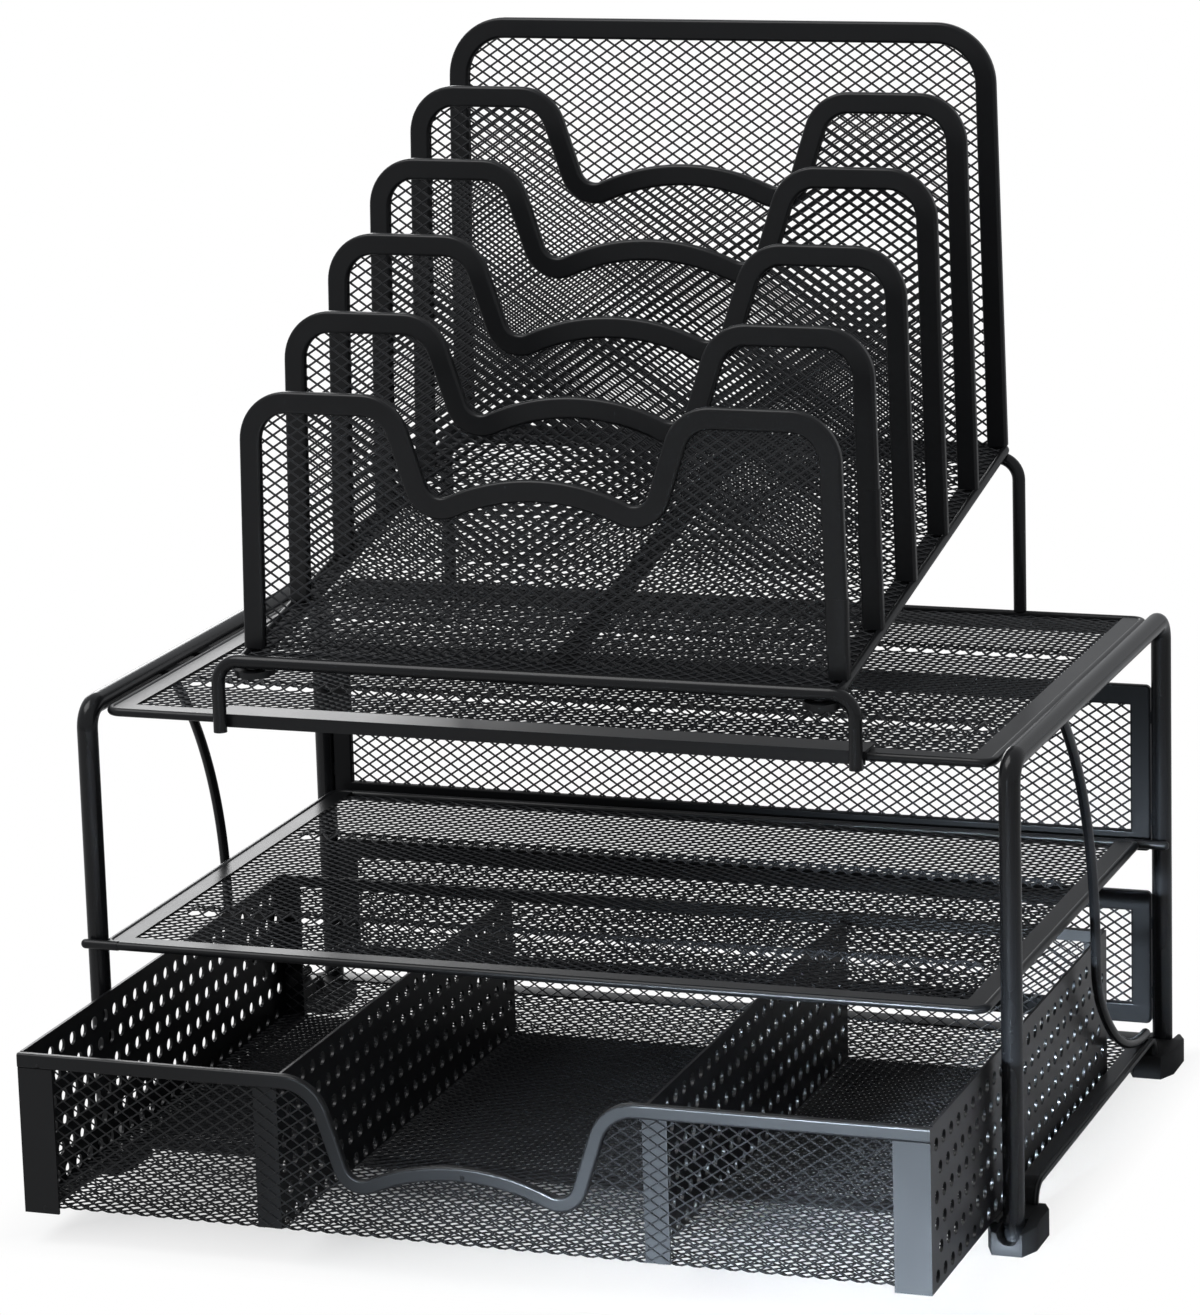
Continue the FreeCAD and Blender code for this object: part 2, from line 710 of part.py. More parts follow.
def partition(inner_x, side):
    """perforated partition with a flange turned outwards behind the front mesh"""
    front = mesh_front_y() + mesh_t
    rear = mesh_rear_y() - mesh_t
    low = drawer_bottom + drawer_sheet + mesh_t
    top = drawer_top - partition_drop
    sheet_x = inner_x if side > 0 else inner_x - partition_sheet
    outer = rectangle(front, rear, low, top)
    holes = hole_wires(drawer_front, drawer_length, sheet_x, low, top)
    wall = slab([outline(outer, side_view(sheet_x))] + holes, Vector(partition_sheet, 0, 0))
    flange = block(inner_x, inner_x + side * partition_flange, front, front + partition_sheet,
                   low, drawer_top - drawer_rim_band)
    rim_space = block(-drawer_half_x, drawer_half_x, rim_front, rim_front + drawer_rim_depth,
                      drawer_top - drawer_rim_band, drawer_top)
    back_rim_space = block(-drawer_half_x, drawer_half_x, drawer_rear - drawer_back_rim_y,
                           drawer_rear, drawer_top - drawer_back_rim_z, drawer_top)
    return wall.fuse(flange).cut([rim_space, back_rim_space]).removeSplitter()


# ---- sorter ------------------------------------------------------------------------------
def base_z(y):
    return base_front_z + (y - base_front) * base_slope


def on_slope(shape):
    """a piece drawn flat, tilted back about the base's front edge and set in place"""
    shape.rotate(Vector(0, 0, 0), Vector(1, 0, 0), base_tilt)
    shape.translate(Vector(0, base_front, base_front_z))
    return shape


def divider_half(z):
    return base_half_x - (z - base_z(divider_first)) * divider_taper


def divider_outline(y, top):
    """a divider has no lower bar: the outline is drawn one band lower than the base"""
    low = base_z(y) - divider_band
    ends = [(-divider_half(low), low, 0), (divider_half(low), low, 0),
            (divider_half(top), top, divider_corner)]
    return ends + wave(0, top) + [(-divider_half(top), top, divider_corner)]


def back_outline(y):
    low = base_z(y) - divider_band
    return [(-divider_half(low), low, 0), (divider_half(low), low, 0),
            (divider_half(back_top), back_top, back_corner),
            (-divider_half(back_top), back_top, back_corner)]


def sorter_panel(corners, y):
    """mesh panel framed at its sides and top, standing on the inclined base"""
    frame, mesh = channel_frame(corners, y, divider_depth, divider_band, divider_groove,
                                divider_edge)
    return largest(frame.cut(below_base())), largest(mesh.cut(below_base()))


def below_base():
    margin = foot_length
    return on_slope(block(-base_half_x - margin, base_half_x + margin, -margin,
                          base_length + margin, -margin, 0))


def sorter_base():
    """rim, mesh and centre strap; the mesh lies on the strips"""
    half = base_half_x
    edge = rectangle(-half, half, 0, base_length, base_corner)
    under = -hem_rise - mesh_t - sheet
    strips = [(-half, half, 0, base_strip, under),
              (-half, half, base_length - base_strip, base_length, under),
              (-half, base_strip - half, 0, base_length, under),
              (half - base_strip, half, 0, base_length, under)]
    rim = hemmed_rim(edge, strips)
    window = rectangle(base_strip - half, half - base_strip,
                       base_strip, base_length - base_strip)
    mesh = mesh_sheet(edge, -hem_rise, window)
    strap = block(strap_x - strap_width / 2, strap_x + strap_width / 2, base_strip,
                  base_length - base_strip, under, under + sheet)
    return on_slope(rim), on_slope(mesh), on_slope(strap)


def sorter_front_wire():
    """bar along the base's front edge with a leg at each end in front of the shelf"""
    wire_r = leg_wire_dia / 2
    y = top_shelf_front - crossbar_gap - crossbar_t - wire_r
    half = front_wire_half_x
    corners = [(-half, front_wire_foot, 0), (-half, front_wire_z, leg_wire_bend),
               (half, front_wire_z, leg_wire_bend), (half, front_wire_foot, 0)]
    return round_bar(outline(corners, upright(y), closed=False), wire_r)


def sorter_rear_wire():
    """bar under the base's rear edge with legs down to the top shelf's rear strip"""
    wire_r = leg_wire_dia / 2
    y = base_rear - rear_wire_back
    tilt = math.radians(base_tilt)
    hem_y = base_rear - hem_r * math.cos(tilt) + hem_r * math.sin(tilt)
    hem_z = base_rear_z - hem_r * math.sin(tilt) - hem_r * math.cos(tilt)
    bar_z = hem_z - math.sqrt((hem_r + wire_r) ** 2 - (hem_y - y) ** 2)
    half = rear_wire_half_x
    foot_z = top_shelf_z
    corners = [(-half, foot_z, 0), (-half, bar_z, leg_wire_bend),
               (half, bar_z, leg_wire_bend), (half, foot_z, 0)]
    return round_bar(outline(corners, upright(y), closed=False), wire_r)


def crossbar():
    """angle strip over the front edge of the top shelf that carries the front wire"""
    front = top_shelf_front - crossbar_gap - crossbar_t
    half = front_wire_half_x + leg_wire_dia / 2
    top = top_shelf_z + crossbar_t
    apron = block(-half, half, front, front + crossbar_t, top_shelf_z - crossbar_drop, top)
    ledge = block(-half, half, front, front + crossbar_depth, top_shelf_z, top)
    return apron.fuse(ledge).removeSplitter()


def lugs():
    """flat rings under the front corners of the base"""
    rings = []
    for side in (-1, 1):
        centre = Vector(side * lug_x, lug_back, -hem_dia - lug_t)
        disc = Part.makeCylinder(lug_dia / 2, lug_t, centre)
        hole = Part.makeCylinder(lug_hole / 2, lug_t, centre)
        rings.append(on_slope(disc.cut(hole)))
    return rings


# ---- build -------------------------------------------------------------------------------
def build_rack():
    frame = side_frame()
    frame_outer = round_bar(frame_path(), tube_r)
    export_pair("side_frame", frame)
    export_pair("bow_brace", bow_brace(frame_outer))
    export_pair("tray_rail", tray_rail())
    front_foot = foot()
    export_pair("foot_front", front_foot)
    export_pair("foot_rear", rear_foot(front_foot))

    top_rim, top_mesh = shelf(-shelf_half_x, shelf_half_x, top_shelf_front,
                              top_shelf_front + shelf_depth, top_shelf_z)
    export("top_shelf_rim", top_rim)
    export("top_shelf_rear_flange", rear_flange(top_rim))
    export("top_shelf_mesh", top_mesh)
    mid_rim, mid_mesh = shelf(-shelf_half_x + mid_shelf_shift, shelf_half_x + mid_shelf_shift,
                              mid_shelf_front, mid_shelf_front + shelf_depth, mid_shelf_z)
    export("mid_shelf_rim", mid_rim)
    export("mid_shelf_laps", *mid_shelf_laps(mid_rim))
    export("mid_shelf_mesh", mid_mesh)

    upper_frame, upper_mesh = back_panel(upper_panel_half_x, upper_panel_bottom,
                                         upper_panel_top)
    lower_frame, lower_mesh = back_panel(lower_panel_half_x, lower_panel_bottom,
                                         lower_panel_top)
    export("upper_back_frame", upper_frame)
    export("upper_back_mesh", upper_mesh)
    export("lower_back_frame", lower_frame)
    export("lower_back_mesh", lower_mesh)
    export("weld_tabs", *weld_tabs([frame_outer], [top_rim, upper_frame, lower_frame]))

    half = tray_rail_half_x
    strip_z = tray_floor + mesh_t
    window = rectangle(-half, half, tray_front + tray_strip, tray_rear - tray_strip)
    export("tray_mesh", mesh_plate(rectangle(-half, half, tray_front, tray_rear), window,
                                   plan(tray_floor), Vector(0, 0, mesh_t)))
    export("tray_front_strip", block(-half, half, tray_front, tray_front + tray_strip,
                                     strip_z, strip_z + tray_strip_t))
    export("tray_rear_strip", block(-half, half, tray_rear - tray_strip, tray_rear,
                                    strip_z, strip_z + tray_strip_t))


def build_drawer():
    export_pair("drawer_side", drawer_side())
    export("drawer_mesh_front", drawer_mesh_front())
    export("drawer_mesh_floor", drawer_mesh_floor())
    export("drawer_mesh_back", drawer_mesh_back())
    export("drawer_front_rim", drawer_front_rim())
    export("drawer_back_rim", drawer_back_rim())
    export("drawer_partition_left", partition(compartment_left, -1))
    export("drawer_partition_right", partition(compartment_right, 1))


def build_sorter():
    rim, mesh, strap = sorter_base()
    export("sorter_base_rim", rim)
    export("sorter_base_mesh", mesh)
    export("sorter_base_strap", strap)
    for index in range(divider_count):
        y = divider_first + index * divider_pitch
        top = divider_first_top + index * divider_top_step
        frame, mesh = sorter_panel(divider_outline(y, top), y)
        export("sorter_divider_%d_frame" % (index + 1), frame)
        export("sorter_divider_%d_mesh" % (index + 1), mesh)
    y = divider_first + divider_count * divider_pitch
    frame, mesh = sorter_panel(back_outline(y), y)
    export("sorter_back_frame", frame)
    export("sorter_back_mesh", mesh)
    export("sorter_front_wire", sorter_front_wire())
    export("sorter_rear_wire", sorter_rear_wire())
    export("sorter_crossbar", crossbar())
    export("sorter_lugs", *lugs())


os.makedirs("parts", exist_ok=True)
build_rack()
build_drawer()
build_sorter()
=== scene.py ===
import math

import bmesh
import bpy
from bpy.props import FloatProperty, FloatVectorProperty, PointerProperty
from mathutils import Matrix, Vector
from mathutils.bvhtree import BVHTree


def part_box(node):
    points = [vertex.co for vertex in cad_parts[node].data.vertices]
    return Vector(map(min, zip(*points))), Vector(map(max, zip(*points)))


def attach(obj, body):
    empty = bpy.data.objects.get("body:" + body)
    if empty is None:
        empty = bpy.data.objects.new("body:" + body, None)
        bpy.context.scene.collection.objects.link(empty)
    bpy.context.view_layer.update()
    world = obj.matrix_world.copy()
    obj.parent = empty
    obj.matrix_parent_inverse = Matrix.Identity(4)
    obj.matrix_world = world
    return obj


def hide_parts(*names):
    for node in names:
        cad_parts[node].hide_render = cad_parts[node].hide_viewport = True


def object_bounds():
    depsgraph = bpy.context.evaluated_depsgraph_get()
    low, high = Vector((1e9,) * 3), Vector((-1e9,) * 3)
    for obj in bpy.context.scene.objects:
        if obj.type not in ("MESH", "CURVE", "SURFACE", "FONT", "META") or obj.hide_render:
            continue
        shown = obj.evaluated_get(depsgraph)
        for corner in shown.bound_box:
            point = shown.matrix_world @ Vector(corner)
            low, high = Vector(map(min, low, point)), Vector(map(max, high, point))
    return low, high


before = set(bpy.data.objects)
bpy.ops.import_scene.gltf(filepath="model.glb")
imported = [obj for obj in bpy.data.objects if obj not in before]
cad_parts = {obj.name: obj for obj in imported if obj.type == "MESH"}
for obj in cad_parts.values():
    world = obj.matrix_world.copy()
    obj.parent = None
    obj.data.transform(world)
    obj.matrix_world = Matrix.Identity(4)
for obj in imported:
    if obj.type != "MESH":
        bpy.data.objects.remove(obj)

bl_info = {
    "name": "Mesh Desk Organiser",
    "version": (1, 0, 0),
    "blender": (4, 5, 0),
    "location": "View3D > Sidebar > Organiser",
    "description": "Expanded mesh, powder coat, welds and studio for a desk organiser",
    "category": "Object",
}

CAD_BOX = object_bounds()
RIM_PIPS = [(-0.1515, -0.1494, 0.0631), (-0.1177, -0.1494, 0.0630), (-0.0001, -0.1494, 0.0371)]
# joint in each divider's right upright: panel, lower end, length
JOINTS = [("sorter_divider_1", 0.1972, 0.0189), ("sorter_divider_2", 0.2220, 0.0225)]
# drops of weld at the left lug, mirrored at the right one: place, then size
LUG_BEADS = [((-0.1008, -0.0706, 0.1846), (0.0026, 0.0016, 0.0009)),
             ((-0.0984, -0.0688, 0.1848), (0.0019, 0.0017, 0.0007)),
             ((-0.0945, -0.0706, 0.1846), (0.0023, 0.0018, 0.0009))]
WIRE_DRIP = ((0.0028, -0.0718, 0.1838), (0.0008, 0.0008, 0.0019))
FLANGE_PIP = ((-0.15125, -0.1491, 0.0132), (0.0008, 0.0002, 0.0008))
SORTER_PANELS = [f"sorter_divider_{index}" for index in range(1, 6)] + ["sorter_back"]

# modelling
ON_PLANE = 1e-7  # a corner this close to a cutting plane lies on it
SAME_PLACE = 1e-6  # corners this close are one
SMOOTH_UP_TO = math.radians(50)
ROUND_FROM = math.radians(28)
RIB_COUNT = 2
RIB_INSET = 0.009  # flat mesh between a rib's end and the shelf's side
RIB_RUN_IN = 0.004  # length over which a rib rises
FOLD_STEPS = 3
JOIN_ROWS = 4  # rows of diamonds past its fold that stay with the drawer's front
SADDLE_STEPS = 8
SADDLE_OPEN = 0.8  # the saddle's groove ends between these, in radii past the leg's middle
SADDLE_CLOSED = 1.05
FOOT_REAR_RISE = 0.9  # height of a foot's inner end, as a share of the foot's
SLEEVE_ROUNDING = 0.0012

# patterns of the coat and of the feet's plastic
CLOUD_SCALE = 38.0
SHEET_GRAIN = 900.0
MESH_GRAIN = 1400.0
CLOUD_DULLING = 0.06  # what the clouds and the specks add to the roughness at most
SPECK_DULLING = 0.05
MEAN_DULLING = 0.05  # about what the two add on average
PEEL_STRENGTH = 0.6
PIP_HEIGHT = 0.7  # in radii of the pip
FOOT_GRAIN = 2200.0
FOOT_GRAIN_DEPTH = 0.00003
FOOT_FLOW = 90.0
FOOT_PALER = 1.8  # brightest flow marks against the plastic's colour
FOOT_ROUGHNESS = 0.50
FOOT_DULLING = 0.12
FOOT_IOR = 1.22

# each lamp's place, the point that it faces, and its width and height
KEY_LAMP = ((-0.7, -0.5, 1.9), (0, 0, 0.15), (1.2, 1.2))
REAR_LAMP = ((-1.35, 2.1, 0.60), (0, 0, 0.2), (0.9, 0.8))
SHEEN_LAMP = ((-0.15, -2.1, 0.10), (0.18, -0.15, -0.06), (0.3, 0.2))
SHEEN_SPREAD = math.radians(8)
SKY_TINT = (0.95, 0.97, 1.0)
WHITE = (1, 1, 1)
FLOOR_REACH = 20.0
FLOOR_DROP = 0.0002
FLOOR_GLOW = 0.88  # share of plain white in the floor under the organiser, as seen
SENSOR_WIDTH = 36.0


# ---- settings ----------------------------------------------------------------------------
class MeshSettings(bpy.types.PropertyGroup):
    long_way: FloatProperty(
        name="Long way", description="Width of one diamond, left to right",
        default=0.0061, min=0.002, unit="LENGTH")
    short_way: FloatProperty(
        name="Short way", description="Height of one diamond",
        default=0.00415, min=0.002, unit="LENGTH")
    strand: FloatProperty(
        name="Strand", description="Width of the metal between two diamonds",
        default=0.00056, min=0.0002, unit="LENGTH")
    panel_strand: FloatProperty(
        name="Panel strand", description="The same in the upright panels",
        default=0.00073, min=0.0002, unit="LENGTH")
    gauge: FloatProperty(
        name="Gauge", description="Thickness of the mesh",
        default=0.00043, min=0.0001, unit="LENGTH")
    twist: FloatProperty(
        name="Twist", description="How far a strand's edges turn out of the sheet",
        default=0.00016, min=0.0, unit="LENGTH")
    plate: FloatProperty(
        name="Plate", description="Thickness of the solid that a sheet of mesh replaces",
        default=0.0007, min=0.0001, unit="LENGTH")
    fold: FloatProperty(
        name="Fold", description="Bend radius of the drawer's mesh",
        default=0.0016, min=0.0005, unit="LENGTH")
    rib_first: FloatProperty(
        name="First rib", description="First stiffening rib behind a shelf's front edge",
        default=0.044, unit="LENGTH")
    rib_spacing: FloatProperty(
        name="Rib spacing", description="From one stiffening rib to the next",
        default=0.104, unit="LENGTH")
    rib_width: FloatProperty(
        name="Rib width", description="Width of a stiffening rib",
        default=0.006, unit="LENGTH")
    rib_rise: FloatProperty(
        name="Rib rise", description="Height of a stiffening rib",
        default=0.0026, unit="LENGTH")
    upright: FloatProperty(
        name="Upright", description="Width of a divider's upright",
        default=0.0075, min=0.001, unit="LENGTH")
    upright_lean: FloatProperty(
        name="Upright lean", description="Inward lean of an upright for each metre of height",
        default=0.022, min=0.0)
    sleeve: FloatProperty(
        name="Sleeve", description="How far a joint stands proud of its upright",
        default=0.00012, min=0.0, unit="LENGTH")
    base_tilt: FloatProperty(
        name="Base tilt", description="How far the sorter's base leans back",
        default=math.radians(10.759), subtype="ANGLE")


class FootSettings(bpy.types.PropertyGroup):
    nose: FloatProperty(
        name="Nose", description="Width of each blunt end of a foot",
        default=0.0105, min=0.002, unit="LENGTH")
    taper: FloatProperty(
        name="Taper", description="Length over which an end narrows",
        default=0.0075, min=0.001, unit="LENGTH")
    front_rise: FloatProperty(
        name="Front height", description="Height of the saddle's end, as a share of the foot's",
        default=0.84, min=0.4, max=1.0, subtype="FACTOR")
    floor: FloatProperty(
        name="Floor", description="Plastic under the leg",
        default=0.0036, min=0.001, unit="LENGTH")
    clearance: FloatProperty(
        name="Clearance", description="Leg to saddle",
        default=0.00025, min=0.0, unit="LENGTH")
    rounding: FloatProperty(
        name="Rounding", description="Rounding of the moulded edges",
        default=0.0009, min=0.0, unit="LENGTH")


class CoatSettings(bpy.types.PropertyGroup):
    black: FloatVectorProperty(
        name="Powder coat", description="Colour of the powder coat",
        default=(0.0055, 0.0058, 0.0065), size=3, min=0.0, max=1.0, subtype="COLOR")
    worn_black: FloatVectorProperty(
        name="Thin coat", description="Colour where the coat is thinner",
        default=(0.0095, 0.0098, 0.0108), size=3, min=0.0, max=1.0, subtype="COLOR")
    roughness: FloatProperty(
        name="Roughness", description="Roughness of the coat on sheet",
        default=0.30, min=0.0, max=1.0, subtype="FACTOR")
    tube_roughness: FloatProperty(
        name="Tube roughness", description="Roughness of the coat on tube and wire",
        default=0.20, min=0.0, max=1.0, subtype="FACTOR")
    weld_roughness: FloatProperty(
        name="Weld roughness", description="Roughness of the coat where it ran thick on a weld",
        default=0.10, min=0.0, max=1.0, subtype="FACTOR")
    weld_ior: FloatProperty(
        name="Weld reflectivity", description="Refractive index of the coat on a weld",
        default=1.6, min=1.0, max=2.0)
    channel_ior: FloatProperty(
        name="Channel reflectivity",
        description="Refractive index of the coat on the back panels' channels",
        default=1.2, min=1.0, max=2.0)
    mesh_roughness: FloatProperty(
        name="Mesh roughness", description="Roughness of the coat on the mesh",
        default=0.28, min=0.0, max=1.0, subtype="FACTOR")
    ior: FloatProperty(
        name="Reflectivity", description="Refractive index of the coat on tube and sheet",
        default=1.35, min=1.0, max=2.0)
    mesh_ior: FloatProperty(
        name="Mesh reflectivity", description="Refractive index of the coat on the mesh",
        default=1.39, min=1.0, max=2.0)
    # painted highlight: the paler black of upright mesh panels stands in for the light that their
    # strands reflect
    upright_painted_sheen: FloatProperty(
        name="Upright mesh", description="How much paler the coat of an upright panel of mesh is",
        default=2.4, min=1.0)
    # painted reflection: the paler black of lying mesh stands in for the light from above that
    # its strands reflect
    lying_painted_sheen: FloatProperty(
        name="Lying mesh", description="How much paler the coat of a lying sheet of mesh is",
        default=3.0, min=1.0)
    peel: FloatProperty(
        name="Orange peel", description="Height of the coat's fine unevenness",
        default=0.00002, min=0.0, unit="LENGTH")
    pip: FloatProperty(
        name="Weld pip", description="Radius of a weld pip on the drawer's front rim",
        default=0.0009, min=0.0001, unit="LENGTH")
    foot_black: FloatVectorProperty(
        name="Foot plastic", description="Colour of the moulded feet",
        default=(0.006, 0.006, 0.0065), size=3, min=0.0, max=1.0, subtype="COLOR")


class StudioSettings(bpy.types.PropertyGroup):
    floor_pale: FloatVectorProperty(
        name="Floor", description="Colour of the floor as it lights the organiser",
        default=(0.58, 0.58, 0.58), size=3, min=0.0, max=1.0, subtype="COLOR")
    floor_white: FloatVectorProperty(
        name="Floor in view", description="Colour of the floor as the camera sees it",
        default=(0.92, 0.92, 0.92), size=3, min=0.0, max=1.0, subtype="COLOR")
    shadow_reach: FloatProperty(
        name="Shadow reach", description="How far from the organiser the floor shows a shadow",
        default=0.013, min=0.001, unit="LENGTH")
    sky: FloatProperty(
        name="Sky", description="Strength of the even light from all round",
        default=0.55, min=0.0)
    key: FloatProperty(
        name="Key lamp", description="Power of the large lamp above",
        default=20.0, min=0.0, unit="POWER")
    rear: FloatProperty(
        name="Rear lamp", description="Power of the lamp behind, which the tops reflect",
        default=8.0, min=0.0, unit="POWER")
    sheen: FloatProperty(
        name="Sheen lamp", description="Power of the low cool lamp in front",
        default=3.2, min=0.0, unit="POWER")
    sheen_tint: FloatVectorProperty(
        name="Sheen tint", description="Colour of the low cool lamp",
        default=(0.74, 0.87, 1.0), size=3, min=0.0, max=1.0, subtype="COLOR")
    camera_place: FloatVectorProperty(
        name="Camera", description="Where the camera stands",
        default=(0.6015, -1.6810, 0.6015), size=3, unit="LENGTH")
    camera_heading: FloatVectorProperty(
        name="Heading", description="Direction in which the camera looks",
        default=(-0.3280, 0.9159, -0.2313), size=3, subtype="DIRECTION")
    camera_roll: FloatProperty(
        name="Roll", description="Turn of the camera about its axis",
        default=-0.0291, unit="ROTATION")
    camera_lens: FloatProperty(
        name="Lens", description="Focal length in millimetres",
        default=145.03, min=10.0)


# ---- materials ---------------------------------------------------------------------------
class Value:
    """a number socket that takes part in expressions; each step adds a Math node"""

    def __init__(self, tree, socket):
        self.tree = tree
        self.socket = socket

    def step(self, operation, *operands):
        node = self.tree.nodes.new("ShaderNodeMath")
        node.operation = operation
        for slot, operand in zip(node.inputs, operands):
            if isinstance(operand, Value):
                self.tree.links.new(operand.socket, slot)
            else:
                slot.default_value = operand
        return Value(self.tree, node.outputs[0])

    def __add__(self, other):
        return self.step("ADD", self, other)

    def __radd__(self, other):
        return self.step("ADD", other, self)

    def __sub__(self, other):
        return self.step("SUBTRACT", self, other)

    def __rsub__(self, other):
        return self.step("SUBTRACT", other, self)

    def __mul__(self, other):
        return self.step("MULTIPLY", self, other)

    def __rmul__(self, other):
        return self.step("MULTIPLY", other, self)

    def __truediv__(self, other):
        return self.step("DIVIDE", self, other)

    def magnitude(self):
        return self.step("ABSOLUTE", self)

    def larger(self, other):
        return self.step("MAXIMUM", self, other)

    def clamped(self):
        return self.step("MINIMUM", self.larger(0.0), 1.0)


class Shader:
    """the node tree of one material or world, built node by node"""

    def __init__(self, owner):
        owner.use_nodes = True
        self.tree = owner.node_tree
        self.tree.nodes.clear()

    def add(self, kind, settings=None, sockets=None):
        """one node: its type, its settings, then the values or links of its sockets"""
        node = self.tree.nodes.new("ShaderNode" + kind)
        for key, value in (settings or {}).items():
            setattr(node, key, value)
        for key, value in (sockets or {}).items():
            if isinstance(value, Value):
                value = value.socket
            if isinstance(value, bpy.types.NodeSocket):
                self.tree.links.new(value, node.inputs[key])
            else:
                node.inputs[key].default_value = value
        return node

    def value(self, node, output=0):
        return Value(self.tree, node.outputs[output])


def rgba(colour, lift=1.0):
    """an opaque colour for a socket, made paler by the lift"""
    return (*[channel * lift for channel in colour], 1.0)


def coat_material(name, settings, roughness, ior, grain, spots=(), lift=1.0):
    """baked powder coat: clouded black, a slightly uneven gloss and fine orange peel

    Each spot is a small weld pip at (x, y, z)."""
    material = bpy.data.materials.new(name)
    shader = Shader(material)
    place = shader.add("TexCoord").outputs["Object"]
    cloud = shader.add("TexNoise", None, {
        "Vector": place, "Scale": CLOUD_SCALE, "Detail": 3.0})
    speck = shader.add("TexNoise", None, {"Vector": place, "Scale": grain, "Detail": 2.0})
    depth = shader.value(cloud)
    # a lift above 1 paints sheen into the black, as on the mesh panels and the lying mesh
    colour = shader.add("Mix", {"data_type": "RGBA"}, {
        "Factor": depth, "A": rgba(settings.black, lift), "B": rgba(settings.worn_black, lift)})
    gloss = (roughness - MEAN_DULLING + depth * CLOUD_DULLING
             + shader.value(speck) * SPECK_DULLING)
    peel = shader.add("Bump", None, {
        "Height": shader.value(speck), "Distance": settings.peel, "Strength": PEEL_STRENGTH})
    relief = peel.outputs["Normal"]
    for spot in spots:
        reach = shader.value(shader.add("VectorMath", {"operation": "DISTANCE"}, {
            0: place, 1: spot}), "Value")
        pip = shader.add("Bump", None, {
            "Height": (1.0 - reach / settings.pip).clamped(),
            "Distance": settings.pip * PIP_HEIGHT, "Strength": 1.0, "Normal": relief})
        relief = pip.outputs["Normal"]
    surface = shader.add("BsdfPrincipled", None, {
        "Base Color": colour.outputs["Result"], "Roughness": gloss.clamped(),
        "Normal": relief, "IOR": ior})
    shader.add("OutputMaterial", None, {"Surface": surface.outputs[0]})
    return material


def foot_material(settings):
    """satin moulded plastic with a fine eroded grain"""
    material = bpy.data.materials.new("foot_plastic_satin")
    shader = Shader(material)
    place = shader.add("TexCoord").outputs["Object"]
    grain = shader.add("TexNoise", None, {
        "Vector": place, "Scale": FOOT_GRAIN, "Detail": 3.0})
    flow = shader.add("TexNoise", None, {"Vector": place, "Scale": FOOT_FLOW, "Detail": 2.0})
    colour = shader.add("Mix", {"data_type": "RGBA"}, {
        "Factor": shader.value(flow), "A": rgba(settings.foot_black),
        "B": rgba(settings.foot_black, FOOT_PALER)})
    relief = shader.add("Bump", None, {
        "Height": shader.value(grain), "Distance": FOOT_GRAIN_DEPTH, "Strength": 0.5})
    surface = shader.add("BsdfPrincipled", None, {
        "Base Color": colour.outputs["Result"],
        "Roughness": (shader.value(grain) * FOOT_DULLING + FOOT_ROUGHNESS).clamped(),
        "Normal": relief.outputs["Normal"], "IOR": FOOT_IOR})
    shader.add("OutputMaterial", None, {"Surface": surface.outputs[0]})
    return material


def finish(name):
    """the material of one finish, made when it is first asked for"""
    if name in bpy.data.materials:
        return bpy.data.materials[name]
    coat = bpy.context.scene.organiser_coat
    if name == "foot_plastic_satin":
        return foot_material(coat)
    sheet = {"roughness": coat.roughness, "ior": coat.ior, "grain": SHEET_GRAIN}
    wire = {**sheet, "roughness": coat.tube_roughness}
    mesh = {"roughness": coat.mesh_roughness, "ior": coat.mesh_ior, "grain": MESH_GRAIN}
    coats = {
        "tube_coat": wire,
        "wire_coat": wire,
        "weld_coat": {**wire, "roughness": coat.weld_roughness, "ior": coat.weld_ior},
        "sheet_coat": sheet,
        "rim_coat": {**sheet, "spots": RIM_PIPS},
        "channel_coat": {**sheet, "ior": coat.channel_ior},
        "front_mesh_coat": mesh,
        # paler black as painted highlight on the strands
        "panel_mesh_painted_sheen": {**mesh, "lift": coat.upright_painted_sheen},
        # paler black as painted reflection of the light from above
        "lying_mesh_painted_sheen": {**mesh, "lift": coat.lying_painted_sheen},
    }
    return coat_material(name, coat, **coats[name])


def dress(names, finish_name):
    """give CAD nodes their finish"""
    for name in names:
        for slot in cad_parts[name].material_slots:
            slot.material = finish(finish_name)


# ---- expanded mesh -----------------------------------------------------------------------
def keep_where(bm, wanted):
    """drop the faces whose centres are not wanted"""
    outside = [face for face in bm.faces if not wanted(face.calc_center_median())]
    bmesh.ops.delete(bm, geom=outside, context="FACES")


def diamonds(half_u, half_v, mesh):
    """flat sheet of joined diamonds over a rectangle about the origin"""
    count = 2 * math.ceil(half_u / mesh.long_way + half_v / mesh.short_way) + 2
    bm = bmesh.new()
    bmesh.ops.create_grid(bm, x_segments=count, y_segments=count, size=count / 2)
    bmesh.ops.rotate(bm, verts=bm.verts, cent=(0, 0, 0),
                     matrix=Matrix.Rotation(math.pi / 4, 3, "Z"))
    across = math.sqrt(2)
    bmesh.ops.scale(bm, verts=bm.verts,
                    vec=(mesh.long_way / across, mesh.short_way / across, 1))
    reach_u = half_u + mesh.long_way / 2
    reach_v = half_v + mesh.short_way / 2
    keep_where(bm, lambda centre: abs(centre.x) <= reach_u and abs(centre.y) <= reach_v)
    return bm


def cut(bm, place, normal, trim):
    """split the sheet on a plane and, where trim is set, drop what lies beyond it"""
    geometry = list(bm.verts) + list(bm.edges) + list(bm.faces)
    bmesh.ops.bisect_plane(bm, geom=geometry, dist=ON_PLANE, plane_co=place,
                           plane_no=normal, clear_outer=trim)


